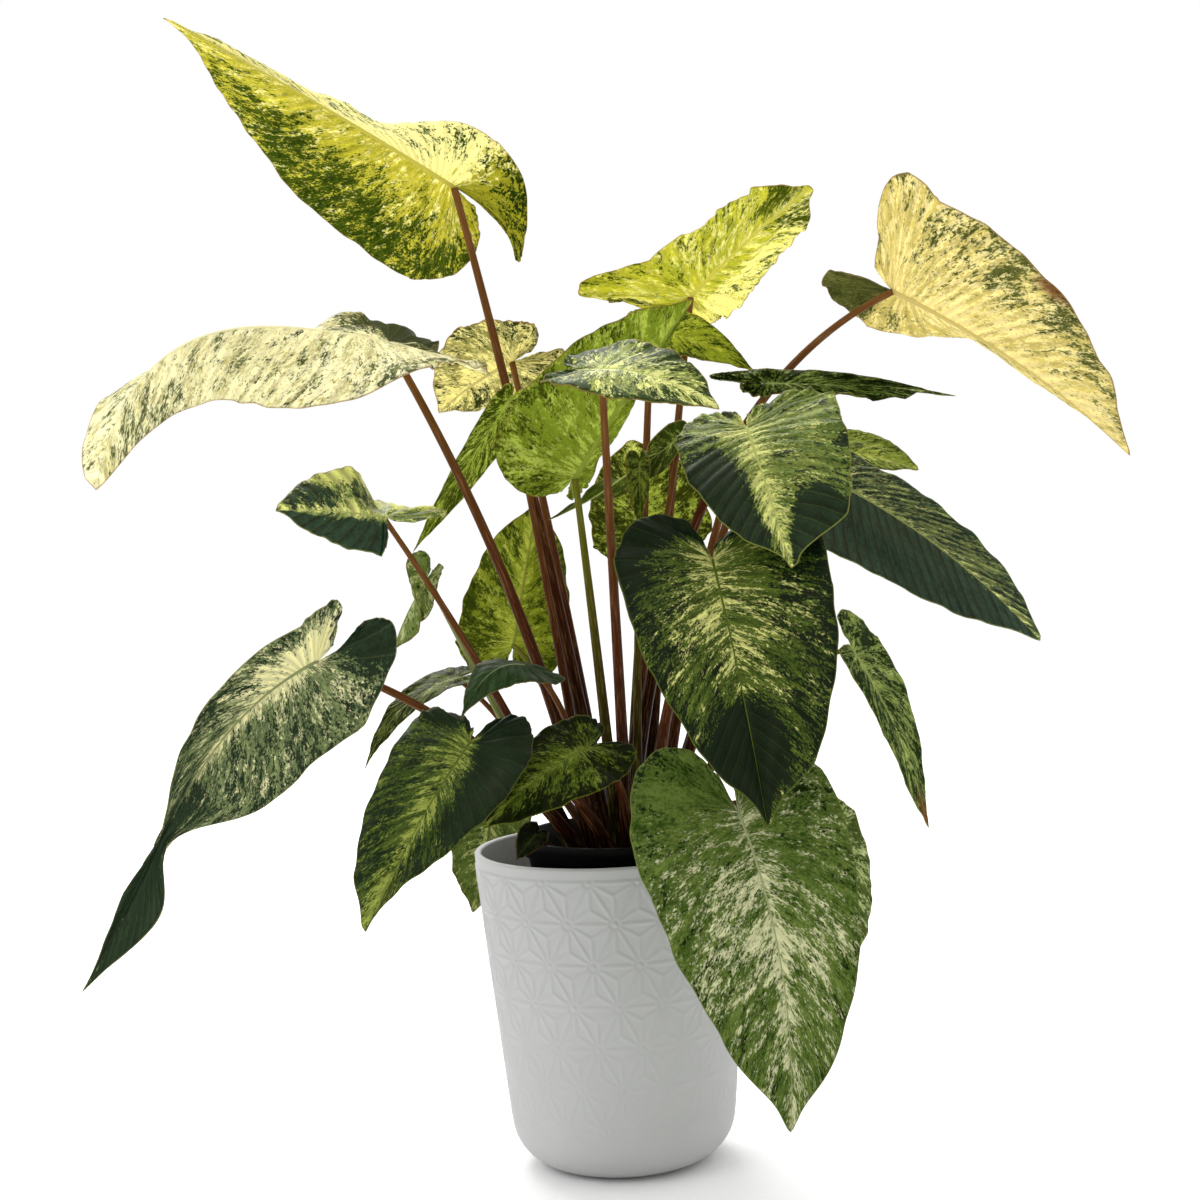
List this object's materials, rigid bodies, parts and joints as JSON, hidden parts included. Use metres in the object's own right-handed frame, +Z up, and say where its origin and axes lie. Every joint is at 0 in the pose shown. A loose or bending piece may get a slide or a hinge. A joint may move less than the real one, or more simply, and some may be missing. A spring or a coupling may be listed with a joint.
{
  "type": "potted plant",
  "caption": "Bushy potted houseplant: marbled heart-shaped leaves on thin arching stalks, rising from soil in a black grower's pot inside a tapered white cover pot.",
  "frame": {"origin": "centre of the cover pot's flat underside, on the surface that the plant stands on", "axes": "+Z up along the pot's axis and the plant's height; the plant's front looks along -Y and +X is to its right as seen from the front"},
  "size_m": [0.6845, 0.3723, 0.8054],
  "materials": {
    "pot": "matte",
    "grower_pot": "satin",
    "soil": "matte",
    "petiole": "satin",
    "leaf_mottled": "satin",
    "leaf_dark": "satin",
    "leaf_lemon": "satin",
    "leaf_cream": "satin"
  },
  "bodies": {
    "root": {"pot": "pot", "grower_pot": "grower_pot", "soil": "soil", "blade_high_left": "leaf_lemon", "petiole_high_left": "petiole", "blade_arching_left": "leaf_cream", "petiole_arching_left": "petiole", "blade_mid_left": "leaf_dark", "petiole_mid_left": "petiole", "blade_low_left": "leaf_mottled", "petiole_low_left": "petiole", "blade_front_left": "leaf_mottled", "petiole_front_left": "petiole", "blade_front_centre": "leaf_mottled", "petiole_front_centre": "petiole", "blade_front_right": "leaf_mottled", "petiole_front_right": "petiole", "blade_centre_heart": "leaf_dark", "petiole_centre_heart": "petiole", "blade_upper_heart": "leaf_mottled", "petiole_upper_heart": "petiole", "blade_right_dark": "leaf_dark", "petiole_right_dark": "petiole", "blade_furled_right": "leaf_dark", "petiole_furled_right": "petiole", "blade_high_right": "leaf_cream", "petiole_high_right": "petiole", "blade_right_narrow": "leaf_dark", "petiole_right_narrow": "petiole", "blade_crown_top": "leaf_lemon", "petiole_crown_top": "petiole", "blade_near_top": "leaf_mottled", "petiole_near_top": "petiole", "blade_back_left": "leaf_lemon", "petiole_back_left": "petiole", "blade_centre_underside": "leaf_lemon", "petiole_centre_underside": "petiole", "blade_pale_back": "leaf_cream", "petiole_pale_back": "petiole", "blade_dark_centre": "leaf_dark", "petiole_dark_centre": "petiole", "blade_ribbon_left": "leaf_lemon", "petiole_ribbon_left": "petiole", "leaf_young_left": "leaf_mottled", "blade_behind_rim": "leaf_mottled", "petiole_behind_rim": "petiole", "leaf_rim_small": "leaf_dark", "blade_back_right": "leaf_lemon", "petiole_back_right": "petiole", "blade_strap_left": "leaf_lemon", "petiole_strap_left": "petiole", "blade_twisted": "leaf_mottled", "petiole_twisted": "petiole", "leaf_young_centre": "leaf_lemon", "blade_back_centre": "leaf_lemon", "petiole_back_centre": "petiole", "blade_back_yellow": "leaf_lemon", "petiole_back_yellow": "petiole", "blade_behind_right": "leaf_dark", "petiole_behind_right": "petiole"}
  },
  "joints": []
}
